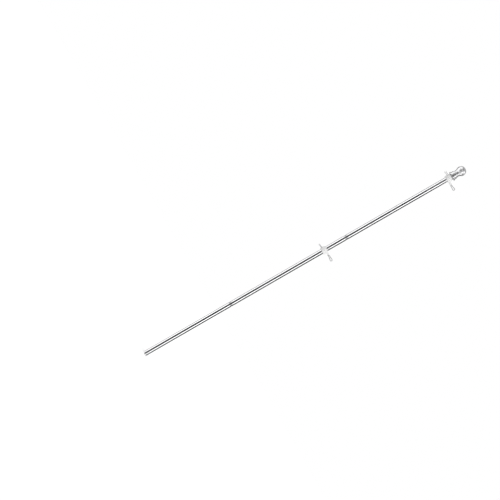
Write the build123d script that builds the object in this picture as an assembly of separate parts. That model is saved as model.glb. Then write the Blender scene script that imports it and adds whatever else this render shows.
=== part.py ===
from build123d import *
from math import asin, cos, degrees, radians, sin, sqrt, tan
import os

# A plug-together flagpole of stainless tube. It stands along Z, with the middle of its butt on the
# origin. The two flag rings carry their wire loops towards +X and their clamp tails towards -X.
# All sizes are in millimetres.

# Pole
pole_length = 1500.0          # from the butt to the tip of the ball
tube_radius = 10.0
tube_wall = 0.8
first_joint_height = 398.0    # rim of the bottom section
second_joint_height = 938.0   # rim of the middle section
spigot_length = 50.0          # necked end that plugs into the section below
spigot_clearance = 0.05
swage_length = 11.0           # taper that shows above each rim

# Plug in the butt
plug_length = 18.0
plug_head = 2.5
plug_wall = 1.4
plug_clearance = 0.05

# Finial
ball_radius = 20.2
ball_wall = 2.2
flange_radius = 19.3
flange_height = 6.0
middle_step_radius = 16.5
middle_step_height = 10.0
top_step_radius = 14.2
top_step_height = 8.5
groove_depth = 2.2
groove_height = 1.0
bead_radius = 14.6
bead_height = 5.2
socket_depth = 17.0           # how far the tube reaches up into the finial
socket_clearance = 0.05
base_wall = 2.4
socket_wall = 1.6
ball_seat = 1.2               # flat foot of the ball above the bead's foot
stud_radius = 4.0
boss_radius = 8.0
boss_depth = 9.0
stud_clearance = 0.03
flange_rounding = 2.6
step_rounding = 2.2

# Flag rings
lower_ring_height = 839.0     # plane between the fixed and the turning half
ring_stop_gap = 2.0           # between the upper ring and the finial
ring_grip_clearance = 0.05
rotor_radius = 15.4           # its wide end, at the division
rotor_hub_radius = 13.9
rotor_length = 9.2
rotor_flange_length = 4.5
running_clearance = 0.1
side_gap = 0.3
journal_wall = 1.95
web_thickness = 1.0
collet_wall = 1.5
collet_length = 11.6
collet_slits = 4
slit_width = 1.4
collet_bead = 0.5
collet_bead_length = 1.2
cover_radius = 15.4           # its wide end, at the division
cover_hub_radius = 13.9
cover_length = 10.2
cover_flange_length = 6.7
cover_wall = 1.2
cover_fit = 0.03
cover_end_wall = 1.0
retainer_radius = 13.4
retainer_length = 1.5
retainer_step = 0.7
retainer_bevel = 0.5
edge_rounding = 0.9           # outer rims of the cover, the turning half and its tab

# Spring wire clamp that grips the collet
clamp_wire_radius = 0.9
clamp_seat_gap = 0.05
clamp_pitch = 2.05
clamp_height = 3.3            # middle of the tails below the turning half
clamp_lap = 15.0              # degrees that each end runs past the other
clamp_bend_radius = 1.7
tail_reach = 33.0
tail_turn = 11.0              # degrees by which a tail curls towards the butt
tail_room = 3.5               # degrees free beside each tail in the cover's slot
slot_end_room = 0.6           # free past the lower tail towards the slot's end

# Tab and wire loop
tab_reach = 29.3
tab_thickness = 4.6
tab_tip_width = 7.2
loop_wire_radius = 1.1
loop_reach = 54.0
loop_width = 11.2
loop_corner_share = 0.85      # corner radius as a share of the loop's half width
neck_bend_share = 2.0         # the same, where the wires spread from the tab
leg_clearance = 0.05
anchor_depth = 12.0           # how far the fixed leg runs into the tab
anchor_edge = 0.3             # how much of the fixed leg stands out of the tab's side
lip_length = 2.5
lip_thickness = 1.2
latch_room = 1.0              # free travel of the hook behind the lip
hook_bend_radius = 1.7
cut_past = 1.0                # how far a cut runs past the face that it opens

tube_bore = tube_radius - tube_wall
finial_height = (flange_height + middle_step_height + top_step_height + groove_height
                 + bead_height + sqrt(ball_radius ** 2 - bead_radius ** 2) + ball_radius)
finial_foot = pole_length - finial_height
top_section_end = finial_foot + socket_depth
ring_bore = tube_radius + ring_grip_clearance
journal_radius = ring_bore + journal_wall
retainer_start = rotor_length + 2 * side_gap
most_rounding = 0.9           # a rounding's largest share of the wall or ledge that it is on
upper_ring_height = finial_foot - ring_stop_gap - collet_length

# Places on the turning half, measured from the plane between the two halves
rotor_foot = side_gap
rotor_middle = rotor_foot + rotor_length / 2
tab_low = rotor_middle - tab_tip_width / 2
tab_high = rotor_middle + tab_tip_width / 2
leg_height = tab_high + anchor_edge - loop_wire_radius
hook_height = tab_low + lip_thickness + leg_clearance + loop_wire_radius
lip_foot = tab_reach - lip_length
hook_depth = lip_foot - latch_room / 2 - loop_wire_radius


def turned(outline, rounded=()):
    """A closed outline of radius and height, turned about the pole's axis.

    rounded lists corners of the outline, each with its rounding's radius.
    """
    profile = make_face(outline.edges())
    for point, rounding in rounded:
        corner = profile.vertices().sort_by_distance(Vector(*point))[0]
        profile = fillet(corner, rounding)
    return revolve(Plane.XZ * profile, Axis.Z)


def ogee(low, high):
    """A smooth step between two (radius, height) points, upright at both ends."""
    middle = ((low[0] + high[0]) / 2, (low[1] + high[1]) / 2)
    return TangentArc(low, middle, tangent=(0, 1)) + TangentArc(high, middle, tangent=(0, -1))


def plain_tube(foot, head):
    return turned(Polyline((tube_bore, foot), (tube_radius, foot), (tube_radius, head),
                           (tube_bore, head), close=True))


def plugged_tube(rim, head):
    """A tube whose lower end is necked down to plug into the section whose rim is given."""
    foot = rim - spigot_length
    shoulder = rim + swage_length
    neck_outside = tube_bore - spigot_clearance
    neck_inside = neck_outside - tube_wall
    outside = Polyline((neck_inside, foot), (neck_outside, foot), (neck_outside, rim))
    inside = Polyline((neck_inside, rim), (neck_inside, foot))
    tube = Polyline((tube_radius, shoulder), (tube_radius, head), (tube_bore, head),
                    (tube_bore, shoulder))
    swage = ogee((neck_outside, rim), (tube_radius, shoulder))
    swage_inside = ogee((neck_inside, rim), (tube_bore, shoulder))
    return turned(outside + swage + tube + swage_inside + inside)


def butt_plug():
    """A cup pushed into the butt, its head flush with the end of the tube."""
    outside = tube_bore - plug_clearance
    inside = outside - plug_wall
    return turned(Polyline((0, 0), (outside, 0), (outside, plug_length), (inside, plug_length),
                           (inside, plug_head), (0, plug_head), close=True))


def finial_base():
    """The stepped collar, hollow from below, with the socket that the tube stands in."""
    first = flange_height
    second = first + middle_step_height
    third = second + top_step_height
    groove = third + groove_height
    groove_radius = top_step_radius - groove_depth
    socket = tube_radius + socket_clearance
    hole = stud_radius + stud_clearance
    rims = [(flange_radius, first), (middle_step_radius, second), (top_step_radius, third)]
    hollow = [(flange_radius - base_wall, 0), (flange_radius - base_wall, first - base_wall),
              (middle_step_radius - base_wall, first - base_wall),
              (middle_step_radius - base_wall, second - base_wall),
              (socket + socket_wall, second - base_wall), (socket + socket_wall, 0)]
    outline = Polyline(*reversed(hollow), (flange_radius, 0), rims[0],
                       (middle_step_radius, first), rims[1], (top_step_radius, second), rims[2],
                       (groove_radius, third), (groove_radius, groove), (hole, groove),
                       (hole, socket_depth), (socket, socket_depth), (socket, 0), close=True)
    ledges = (flange_radius - middle_step_radius, middle_step_radius - top_step_radius, groove_depth)
    wanted = (flange_rounding, step_rounding, step_rounding)
    roundings = [min(rounding, ledge * most_rounding) for rounding, ledge in zip(wanted, ledges)]
    return Pos(0, 0, finial_foot) * turned(outline, zip(rims, roundings))


def bead_foot():
    return finial_foot + flange_height + middle_step_height + top_step_height + groove_height


def finial_bead():
    """The rounded ring under the ball, dished on top to seat it."""
    foot = bead_foot()
    bulge = bead_height / 2
    inner = stud_radius + stud_clearance
    section = Polyline((inner, foot), (bead_radius - bulge / 2, foot))
    section += ThreePointArc((bead_radius - bulge / 2, foot), (bead_radius, foot + bulge),
                             (bead_radius - bulge / 2, foot + bead_height))
    section += Polyline((bead_radius - bulge / 2, foot + bead_height),
                        (inner, foot + bead_height), (inner, foot))
    return turned(section) - ball_blank()


def ball_blank():
    """The whole ball with its flat foot, before it is hollowed."""
    foot = bead_foot() + ball_seat
    ball = Pos(0, 0, pole_length - ball_radius) * Sphere(ball_radius)
    below_foot = Pos(0, 0, foot - ball_radius) * Cylinder(ball_radius, 2 * ball_radius)
    return ball - below_foot


def stud_head():
    return bead_foot() + ball_seat + boss_depth


def finial_ball():
    """A hollow ball with a boss inside its foot for the stud."""
    foot = bead_foot() + ball_seat
    middle = pole_length - ball_radius
    inside = Pos(0, 0, middle) * Sphere(ball_radius - ball_wall)
    boss = Pos(0, 0, foot + boss_depth / 2) * Cylinder(boss_radius, boss_depth)
    hole = Pos(0, 0, foot + boss_depth / 2) * Cylinder(stud_radius + stud_clearance, boss_depth)
    return (ball_blank() - inside) + (boss & ball_blank()) - hole


def finial_stud():
    """The stud that draws ball, bead and base together."""
    foot = finial_foot + socket_depth
    return Pos(0, 0, (foot + stud_head()) / 2) * Cylinder(stud_radius, stud_head() - foot)


def ring_sleeve():
    """Journal for the turning half above the web, and slit collet fingers below it."""
    collet_radius = ring_bore + collet_wall
    web_radius = cover_radius - cover_wall - cover_fit
    seat = journal_radius - retainer_step
    head = retainer_start + retainer_length
    bead = collet_radius + collet_bead
    sleeve = turned(Polyline((ring_bore, -collet_length), (bead, -collet_length),
                             (bead, collet_bead_length - collet_length),
                             (collet_radius, collet_bead_length - collet_length),
                             (collet_radius, -web_thickness), (web_radius, -web_thickness),
                             (web_radius, 0), (journal_radius, 0),
                             (journal_radius, retainer_start), (seat, retainer_start),
                             (seat, head), (ring_bore, head), close=True))
    slit_length = collet_length - 2 * web_thickness
    slit = Pos(ring_bore, 0, slit_length / 2 - collet_length) * Box(2 * bead - ring_bore, slit_width,
                                                                    slit_length)
    return sleeve - PolarLocations(0, collet_slits, start_angle=45) * slit


def clamp_cover():
    """Shell over the clamp, with a slot for its tails that is open towards the web."""
    inside = cover_radius - cover_wall
    hub_inside = cover_hub_radius - cover_wall
    throat = ring_bore + collet_wall + collet_bead + side_gap
    step = -cover_flange_length
    rims = [(cover_radius, step), (cover_hub_radius, -cover_length)]
    outline = Polyline((inside, 0), (cover_radius, 0), rims[0], (cover_hub_radius, step), rims[1],
                       (throat, -cover_length), (throat, cover_end_wall - cover_length),
                       (hub_inside, cover_end_wall - cover_length), (hub_inside, step + cover_wall),
                       (inside, step + cover_wall), close=True)
    rounding = min(edge_rounding, cover_wall * most_rounding)
    shell = turned(outline, [(rim, rounding) for rim in rims])
    half_angle = (clamp_lap + degrees(asin(clamp_bend_radius / clamp_coil_radius()))
                  + degrees(asin(clamp_wire_radius / inside)) + tail_room)
    slot_depth = clamp_height + clamp_pitch / 2 + clamp_wire_radius + slot_end_room
    reach = 2 * cover_radius
    spread = reach * tan(radians(half_angle))
    wedge = make_face(Polyline((0, 0), (-reach, spread), (-reach, -spread), close=True).edges())
    return shell - extrude(wedge, -slot_depth)


def clamp_coil_radius():
    return ring_bore + collet_wall + clamp_seat_gap + clamp_wire_radius


def bent_wire(route, radius):
    """Round wire along joined straight runs and circular arcs, each swept by itself."""
    wire = None
    for run in route:
        section = Plane(origin=run @ 0, z_dir=run % 0) * Circle(radius)
        if run.geom_type == GeomType.LINE:
            piece = extrude(section, run.length)
        else:
            spin = (run @ 0 - run.arc_center).cross(run % 0)
            piece = revolve(section, Axis(run.arc_center, spin), degrees(run.length / run.radius))
        wire = piece if wire is None else wire + piece
    return wire


def arc_from(start, along, towards, radius, angle):
    """An arc that leaves start in the direction along and turns by angle towards a direction."""
    side = (towards - along * along.dot(towards)).normalized()

    def point(share):
        turn = radians(angle * share)
        return start + (along * sin(turn) + side * (1 - cos(turn))) * radius

    return ThreePointArc(start, point(0.5), point(1))


def ring_clamp(towards_butt):
    """One lapped turn of spring wire, whose ends turn out as finger tails.

    Each half turn leans away from the other, so that the ends pass side by side. towards_butt is 1
    where the butt lies on the collet's side of the ring and -1 where it lies on the other side, so
    that the tails curl the same way on both rings.
    """
    coil = clamp_coil_radius()
    lean = asin(clamp_pitch / 4 / coil)
    front = Vector(coil, 0, -clamp_height)
    halves = []
    for way in (-1, 1):
        inward = Vector(-cos(lean), 0, way * sin(lean))
        half = arc_from(front, Vector(0, way, 0), inward, coil, 180 + clamp_lap)
        outward = Vector((half @ 1).X, (half @ 1).Y, 0).normalized()
        bend = arc_from(half @ 1, half % 1, outward, clamp_bend_radius, (half % 1).get_angle(outward))
        bow = (tail_reach - coil - clamp_bend_radius) / sin(radians(tail_turn))
        tail = arc_from(bend @ 1, outward, Vector(0, 0, -towards_butt), bow, tail_turn)
        halves.append(bent_wire([half, bend, tail], clamp_wire_radius))
    return halves[0] + halves[1]


def retainer():
    """The ring pressed on the journal's end, which keeps the turning half on."""
    seat = journal_radius - retainer_step + cover_fit
    head = retainer_start + retainer_length
    bevel = min(retainer_bevel, retainer_length * most_rounding)
    return turned(Polyline((seat, retainer_start), (retainer_radius, retainer_start),
                           (retainer_radius, head - bevel), (retainer_radius - bevel, head),
                           (seat, head), close=True))


def ring_rotor():
    """The turning half: a ring with a tapered tab.

    The tab holds the loop's fixed leg in a hole, and latches its hook in a pocket cut from one face,
    so that the lip in front of the hook stays joined by the tab's back.
    """
    bore = journal_radius + running_clearance
    head = rotor_foot + rotor_length
    step = rotor_foot + rotor_flange_length
    rims = [(rotor_radius, step), (rotor_hub_radius, head)]
    ring = turned(Polyline((bore, rotor_foot), (rotor_radius, rotor_foot), rims[0],
                           (rotor_hub_radius, step), rims[1], (bore, head), close=True),
                  [(rim, edge_rounding) for rim in rims])
    root = (bore + rotor_hub_radius) / 2
    inset = edge_rounding
    outline = make_face(Polyline((root, rotor_foot + inset), (tab_reach, tab_low),
                                 (tab_reach, tab_high), (root, head - inset), close=True).edges())
    tab = extrude(Plane.XZ * outline, tab_thickness / 2, both=True)
    tip = tab.edges().filter_by(Axis.Y).sort_by(Axis.X)[-2:]
    tab = fillet(tip, edge_rounding)
    gap = loop_wire_radius + leg_clearance
    channel_top = hook_height + gap
    pocket_floor = hook_depth - loop_wire_radius - latch_room / 2
    mouth = tab_reach + cut_past
    below = rotor_foot - cut_past
    notch = make_face(Polyline((mouth, hook_height - gap), (lip_foot, hook_height - gap),
                               (lip_foot, below), (pocket_floor, below),
                               (pocket_floor, channel_top), (mouth, channel_top),
                               close=True).edges())
    tab -= Pos(0, gap, 0) * extrude(Plane.XZ * notch, tab_thickness)
    leg_start = tab_reach - anchor_depth
    hole_length = anchor_depth + cut_past
    hole = Pos(leg_start + hole_length / 2, 0, leg_height) * Rot(0, 90, 0) * Cylinder(gap, hole_length)
    return ring + (tab - hole)


def loop_route():
    """Middle line of the wire loop, from the fixed leg round to the latched hook."""
    bottom = loop_reach - loop_wire_radius
    middle = rotor_middle - loop_wire_radius / 2
    half = loop_width / 2 - loop_wire_radius
    neck = tab_reach + 2 * loop_wire_radius
    corners = [(tab_reach - anchor_depth + side_gap, leg_height), (neck, leg_height),
               (bottom, middle + half), (bottom, middle - half), (neck, hook_height),
               (hook_depth, hook_height), (hook_depth, tab_low)]
    spread = half * neck_bend_share
    corner = half * loop_corner_share
    return FilletPolyline(*corners, radius=[spread, corner, corner, spread, hook_bend_radius])


def wire_loop():
    route = Plane.XZ * loop_route()
    return bent_wire(route.edges(), loop_wire_radius)


def ring_parts(name, place, towards_butt):
    return {
        name + "_ring_sleeve": place * ring_sleeve(),
        name + "_ring_clamp": place * ring_clamp(towards_butt),
        name + "_ring_cover": place * clamp_cover(),
        name + "_ring_retainer": place * retainer(),
        name + "_ring_rotor": place * ring_rotor(),
        name + "_ring_loop": place * wire_loop(),
    }


def pole_parts():
    return {
        "bottom_section": plain_tube(0, first_joint_height),
        "middle_section": plugged_tube(first_joint_height, second_joint_height),
        "top_section": plugged_tube(second_joint_height, top_section_end),
        "butt_plug": butt_plug(),
        "finial_base": finial_base(),
        "finial_bead": finial_bead(),
        "finial_ball": finial_ball(),
        "finial_stud": finial_stud(),
    }


# The upper ring is the same unit turned end for end, so that the two loops face each other.
lower_place = Pos(0, 0, lower_ring_height)
upper_place = Pos(0, 0, upper_ring_height) * Rot(180, 0, 0)

parts = pole_parts()
parts.update(ring_parts("lower", lower_place, 1))
parts.update(ring_parts("upper", upper_place, -1))

os.makedirs("parts", exist_ok=True)
for node, shape in parts.items():
    export_step(shape, f"parts/{node}.step")
    print(node, round(shape.volume, 1))
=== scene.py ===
import bmesh
import bpy
import math
import numpy as np
from mathutils import Matrix, Vector


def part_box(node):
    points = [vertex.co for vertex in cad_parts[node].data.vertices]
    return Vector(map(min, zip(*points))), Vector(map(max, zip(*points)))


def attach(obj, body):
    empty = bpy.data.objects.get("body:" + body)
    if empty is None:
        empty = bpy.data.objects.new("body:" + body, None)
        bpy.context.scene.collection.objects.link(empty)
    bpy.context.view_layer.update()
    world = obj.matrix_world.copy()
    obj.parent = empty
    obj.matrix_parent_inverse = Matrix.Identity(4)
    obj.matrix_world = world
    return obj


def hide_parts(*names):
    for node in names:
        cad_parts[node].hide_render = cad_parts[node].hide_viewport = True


# A plug-together flagpole of stainless tube, with a stepped ball finial and two turning flag rings.
# Sizes are in metres. Z runs up the pole from the butt, and each ring is drawn round its own middle.

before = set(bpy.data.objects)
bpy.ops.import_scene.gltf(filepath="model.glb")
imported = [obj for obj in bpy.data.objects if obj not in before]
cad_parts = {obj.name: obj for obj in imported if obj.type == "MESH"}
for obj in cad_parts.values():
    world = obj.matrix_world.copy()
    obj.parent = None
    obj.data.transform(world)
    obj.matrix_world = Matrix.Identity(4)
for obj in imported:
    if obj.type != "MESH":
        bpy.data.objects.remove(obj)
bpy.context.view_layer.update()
mm = 0.001


# Shape tools

# Each vector divided by its own length.
def unit(vectors):
    return vectors / np.linalg.norm(vectors, axis=-1, keepdims=True)


def vector(x, y, z):
    return np.array([x, y, z], float)


# Angles round a full circle in even steps: 2 pi k / count.
def evenAngles(count):
    return np.arange(count) * 2 * np.pi / count


# A corner P with rounding r becomes the arc C + r (sin((1 - t) w) d0 + sin(t w) d1) / sin w, where d0
# and d1 point from the arc's centre C to the two sides and w is the angle between them. A corner with
# rounding 0 stays a point. Long straight runs get a point at hold from each end, so that an arc's
# shading stays on the arc. Also gives 1 for each point on an arc and 0 elsewhere.
def roundedPath(corners, roundings, closed, steps=6, hold=0.4 * mm):
    corners = np.asarray(corners, float)
    count = len(corners)
    pieces = []
    for i, (corner, rounding) in enumerate(zip(corners, np.broadcast_to(roundings, count))):
        if rounding == 0 or (not closed and i in (0, count - 1)):
            pieces.append(corner[None])
            continue
        back = unit(corners[i - 1] - corner)
        ahead = unit(corners[(i + 1) % count] - corner)
        angle = math.acos(back @ ahead)
        reach = rounding / math.tan(angle / 2)
        centre = corner + unit(back + ahead) * rounding / math.sin(angle / 2)
        first = (corner + back * reach - centre) / rounding
        last = (corner + ahead * reach - centre) / rounding
        turn = math.pi - angle
        t = np.linspace(0, 1, steps + 1)[:, None]
        arc = (np.sin((1 - t) * turn) * first + np.sin(t * turn) * last) / math.sin(turn)
        pieces.append(centre + rounding * arc)
    points, onArc = [], []
    for i, piece in enumerate(pieces):
        points.append(piece)
        onArc.append(np.full(len(piece), float(len(piece) > 1)))
        if not closed and i == count - 1:
            break
        run = pieces[(i + 1) % count][0] - piece[-1]
        length = np.linalg.norm(run)
        if length > 4 * hold:
            step = run * hold / length
            points.append(np.array([piece[-1] + step, piece[-1] + run - step]))
            onArc.append(np.zeros(2))
    return np.vstack(points), np.concatenate(onArc)


# Points on a circle about (0, height), as radius and height, from one angle to another in degrees.
# 0 degrees points away from the axis and 90 points up.
def arcProfile(radius, height, fromAngle, toAngle, steps):
    angles = np.radians(np.linspace(fromAngle, toAngle, steps + 1))
    return np.stack([radius * np.cos(angles), height + radius * np.sin(angles)], axis=-1)


# Smooth step from one (radius, height) to another: radius goes as 3 t^2 - 2 t^3, height as t.
def easedProfile(low, high, steps=14):
    t = np.linspace(0, 1, steps + 1)[1:-1, None]
    ease = 3 * t ** 2 - 2 * t ** 3
    low, high = np.array(low), np.array(high)
    return low + (high - low) * np.concatenate([ease, t], axis=1)


# A mesh from a grid of points. Row i is one ring round the piece, and face (i, j) joins rows i and
# i + 1 and columns j and j + 1. The last row joins the first, or a fan closes each end at its pole.
# Wear has one value for each row or each point. Faces are turned outwards by the sign of the volume
# that they enclose.
def surfaceMesh(grid, wear, poles=None):
    rows, columns = grid.shape[:2]
    vertices = grid.reshape(-1, 3)
    worn = np.broadcast_to(wear.reshape(rows, -1), (rows, columns)).ravel()
    lastRow = rows if poles is None else rows - 1
    i, j = (a.ravel() for a in np.meshgrid(np.arange(lastRow), np.arange(columns), indexing="ij"))
    here, above, right = i * columns, (i + 1) % rows * columns, (j + 1) % columns
    quads = np.stack([here + j, here + right, above + right, above + j], axis=-1)
    steps = np.linalg.norm(np.diff(grid[:, 0], axis=0, append=grid[:1, 0]), axis=1)
    along = np.concatenate([[0], np.cumsum(steps)])
    u = np.stack([j, j + 1, j + 1, j], axis=-1) / columns
    v = np.stack([along[i], along[i], along[i + 1], along[i + 1]], axis=-1)
    faces, uvs = quads.tolist(), [np.stack([u, v], axis=-1).reshape(-1, 2)]
    if poles is not None:
        column = np.arange(columns)
        nextColumn = (column + 1) % columns
        start, end = len(vertices), len(vertices) + 1
        lastRing = (rows - 1) * columns
        fans = [np.stack([np.full(columns, start), nextColumn, column], axis=-1),
                np.stack([lastRing + column, lastRing + nextColumn, np.full(columns, end)], axis=-1)]
        vertices = np.vstack([vertices, poles])
        worn = np.append(worn, [0, 0])
        for fan, height in zip(fans, (0, along[rows - 1])):
            faces += fan.tolist()
            uvs.append(np.stack([(fan % columns) / columns, np.full(fan.shape, height)], -1).reshape(-1, 2))
    mesh = bpy.data.meshes.new("surface")
    mesh.from_pydata(vertices.tolist(), [], faces)
    layer = mesh.uv_layers.new(name="surface")
    layer.data.foreach_set("uv", np.vstack(uvs).astype(np.float32).ravel())
    mesh.attributes.new("edgeWear", "FLOAT", "POINT").data.foreach_set("value", worn)
    mesh.polygons.foreach_set("use_smooth", np.ones(len(faces), bool))
    corners = vertices[quads]
    volume = np.sum(corners[:, 0] * np.cross(corners[:, 1], corners[:, 2])
                    + corners[:, 0] * np.cross(corners[:, 2], corners[:, 3]))
    if volume < 0:
        mesh.flip_normals()
    mesh.update()
    return mesh


# Turns radii r and heights z about Z: x = r cos a, y = r sin a, with one column for each angle a.
def turnedGrid(radius, height, angles):
    return np.stack([radius * np.cos(angles), radius * np.sin(angles), height + 0 * angles], axis=-1)


# A profile of (radius, height) turned all round. Poles are the heights of a solid's closed ends.
def turnedMesh(profile, wear, columns, poles=None):
    grid = turnedGrid(profile[:, :1], profile[:, 1:], evenAngles(columns))
    return surfaceMesh(grid, wear, None if poles is None else [vector(0, 0, z) for z in poles])


# A round wire along a path P(s): P + r(s) (cos a side + sin a rise), where side is lift x tangent and
# rise is tangent x side. At each tip r falls as a quarter ellipse over the tip's depth.
def wireMesh(path, lift, radius, tipDepth, tipRows=6, around=28, spacing=0.25 * mm):
    lengths = np.concatenate([[0], np.cumsum(np.linalg.norm(np.diff(path, axis=0), axis=1))])
    total = lengths[-1]
    tip = np.linspace(0, np.pi / 2, tipRows + 1)[1:]
    tipPlaces = tipDepth * (1 - np.cos(tip))
    middle = np.linspace(tipDepth, total - tipDepth, int(total / spacing))[1:-1]
    places = np.concatenate([tipPlaces, middle, total - tipPlaces[::-1]])
    radii = radius * np.concatenate([np.sin(tip), np.ones(len(middle)), np.sin(tip[::-1])])

    def pointsAt(along):
        return np.stack([np.interp(along, lengths, path[:, k]) for k in range(3)], axis=-1)

    tangent = unit(pointsAt(places + spacing) - pointsAt(places - spacing))
    side = unit(np.cross(lift, tangent))
    rise = np.cross(tangent, side)
    a = evenAngles(around)
    circle = np.cos(a)[:, None] * side[:, None] + np.sin(a)[:, None] * rise[:, None]
    grid = pointsAt(places)[:, None] + radii[:, None, None] * circle
    onTip = (radii < radius * 0.999).astype(float)
    return surfaceMesh(grid, onTip, poles=path[[0, -1]])


# An arc that leaves start in the direction along: start + R (sin t along + (1 - cos t) side), where
# side is the part of towards that is square to along. Also gives the direction at its end.
def arcPath(start, along, towards, radius, angle, steps):
    side = unit(towards - along * (along @ towards))
    t = np.linspace(0, angle, steps + 1)[:, None]
    points = start + radius * (np.sin(t) * along + (1 - np.cos(t)) * side)
    return points, np.cos(angle) * along + np.sin(angle) * side


def addObject(name, data):
    made = bpy.data.objects.new(name, data)
    bpy.context.scene.collection.objects.link(made)
    return made


def addPiece(name, mesh, material, body, node):
    mesh.name = name
    mesh.materials.append(material)
    piece = addObject(name, mesh)
    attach(piece, body)
    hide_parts(node)
    return piece


# Node tools

# Makes a node, gives it its settings, and fills each named input with a value or a link.
def addNode(tree, kind, inputs=None, **settings):
    made = tree.nodes.new(kind)
    for key, value in settings.items():
        setattr(made, key, value)
    for key, value in (inputs or {}).items():
        if isinstance(value, bpy.types.NodeSocket):
            tree.links.new(value, made.inputs[key])
        else:
            made.inputs[key].default_value = value
    return made


def mathNode(tree, operation, *values, clamp=False):
    return addNode(tree, "ShaderNodeMath", dict(enumerate(values)), operation=operation,
                   use_clamp=clamp).outputs[0]


def times(tree, first, second):
    return mathNode(tree, "MULTIPLY", first, second)


def plus(tree, first, second):
    return mathNode(tree, "ADD", first, second)


def mapRange(tree, value, fromLow, fromHigh, toLow=0.0, toHigh=1.0, smooth=False):
    inputs = {"Value": value, "From Min": fromLow, "From Max": fromHigh, "To Min": toLow, "To Max": toHigh}
    return addNode(tree, "ShaderNodeMapRange", inputs,
                   interpolation_type="SMOOTHSTEP" if smooth else "LINEAR").outputs[0]


def noise(tree, place, settings):
    return addNode(tree, "ShaderNodeTexNoise", {"Vector": place, **settings}).outputs[0]


def stretched(tree, place, factors):
    return addNode(tree, "ShaderNodeVectorMath", {0: place, 1: factors}, operation="MULTIPLY").outputs[0]


def mixColours(tree, factor, first, second):
    return addNode(tree, "ShaderNodeMix", {0: factor, 6: first, 7: second}, data_type="RGBA").outputs[2]


def mixShaders(tree, factor, first, second):
    return addNode(tree, "ShaderNodeMixShader", {0: factor, 1: first, 2: second}).outputs[0]


# A ramp of greys through stops of (place, brightness), eased from each to the next.
def greyRamp(tree, factor, stops):
    made = addNode(tree, "ShaderNodeValToRGB", {0: factor})
    ramp = made.color_ramp
    ramp.interpolation = "EASE"
    while len(ramp.elements) < len(stops):
        ramp.elements.new(0.5)
    for element, (place, grey) in zip(ramp.elements, stops):
        element.position = place
        element.color = (grey, grey, grey, 1)
    return made.outputs[0]


# A group that reads a vector and the named numbers. Also gives what it reads and what it puts out.
def newGroup(name, numbers, results):
    group = bpy.data.node_groups.new(name, "ShaderNodeTree")
    group.interface.new_socket(name="Vector", in_out="INPUT", socket_type="NodeSocketVector")
    for label, value in numbers.items():
        socket = group.interface.new_socket(name=label, in_out="INPUT", socket_type="NodeSocketFloat")
        socket.default_value = value
    for label in results:
        group.interface.new_socket(name=label, in_out="OUTPUT", socket_type="NodeSocketFloat")
    return group, addNode(group, "NodeGroupInput").outputs, addNode(group, "NodeGroupOutput").inputs


def useGroup(tree, group, place, numbers):
    return addNode(tree, "ShaderNodeGroup", {"Vector": place, **numbers}, node_tree=group).outputs


# Shared effects

grainEffect = {
    "numbers": {"Lines": 900.0, "Stretch": 0.02},
    "noise": {"Scale": 1.0, "Detail": 5.0, "Roughness": 0.62},
    "span": (0.35, 0.65),      # noise that becomes 0 and 1
}


# Fine lines along Z, as noise that is stretched along the piece.
def drawnGrainGroup():
    effect = grainEffect
    group, given, result = newGroup("drawnGrain", effect["numbers"], ["Height", "Value"])
    across = given["Lines"]
    factors = addNode(group, "ShaderNodeCombineXYZ", {"X": across, "Y": across,
                                                      "Z": times(group, across, given["Stretch"])})
    lines = noise(group, stretched(group, given["Vector"], factors.outputs[0]), effect["noise"])
    group.links.new(lines, result["Height"])
    group.links.new(mapRange(group, lines, *effect["span"]), result["Value"])
    return group


smudgeEffect = {
    "numbers": {"Scale": 30.0, "Cover": 0.5},
    "noise": {"Detail": 4.0, "Roughness": 0.55, "Distortion": 0.6},
    "start": 0.85,             # noise at which a patch starts at a cover of 0
    "coverShift": 0.7,         # how far a cover of 1 lowers that
    "edge": 0.2,               # noise over which a patch comes in
}


# Soft patches from handling, as broad noise that is cut to a range.
def smudgesGroup():
    effect = smudgeEffect
    group, given, result = newGroup("smudges", effect["numbers"], ["Mask"])
    broad = noise(group, given["Vector"], {"Scale": given["Scale"], **effect["noise"]})
    low = mathNode(group, "SUBTRACT", effect["start"], times(group, given["Cover"], effect["coverShift"]))
    patches = mapRange(group, broad, low, plus(group, low, effect["edge"]), smooth=True)
    group.links.new(patches, result["Mask"])
    return group


scratchEffect = {
    "numbers": {"Scale": 120.0, "Width": 0.012},
    "turn": (0.5, 0.9, 0.3),   # radians
    "stretch": (1.0, 1.0, 0.03),
    "middle": 0.5,
    "patches": {"Scale": 55.0},
    "kept": (0.52, 0.62),      # broad noise over which the scratches come in
}


# Hairline scratches: the thin bands where a stretched, turned noise crosses its middle value, kept
# only where a broad noise is high.
def scratchesGroup():
    effect = scratchEffect
    group, given, result = newGroup("scratches", effect["numbers"], ["Mask"])
    turned = addNode(group, "ShaderNodeMapping", {"Vector": given["Vector"], "Rotation": effect["turn"],
                                                  "Scale": effect["stretch"]})
    lines = noise(group, turned.outputs[0], {"Scale": given["Scale"], "Detail": 0.0})
    offset = mathNode(group, "ABSOLUTE", mathNode(group, "SUBTRACT", lines, effect["middle"]))
    band = mapRange(group, offset, 0.0, given["Width"], 1.0, 0.0)
    kept = mapRange(group, noise(group, given["Vector"], effect["patches"]), *effect["kept"])
    group.links.new(times(group, band, kept), result["Mask"])
    return group


wearEffect = {
    "numbers": {"Scale": 300.0, "Amount": 0.6},
    "detail": 3.0,
    "span": (0.42, 0.62),
}


# Wear on rounded edges, and on the milky nylon painted light there: the piece's own edge attribute, broken up
# by noise.
def edgeWearGroup():
    effect = wearEffect
    group, given, result = newGroup("edgeWear", effect["numbers"], ["Mask"])
    edge = addNode(group, "ShaderNodeAttribute", attribute_name="edgeWear").outputs["Fac"]
    broken = noise(group, given["Vector"], {"Scale": given["Scale"], "Detail": effect["detail"]})
    worn = times(group, edge, mapRange(group, broken, *effect["span"]))
    group.links.new(times(group, worn, given["Amount"]), result["Mask"])
    return group


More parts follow.
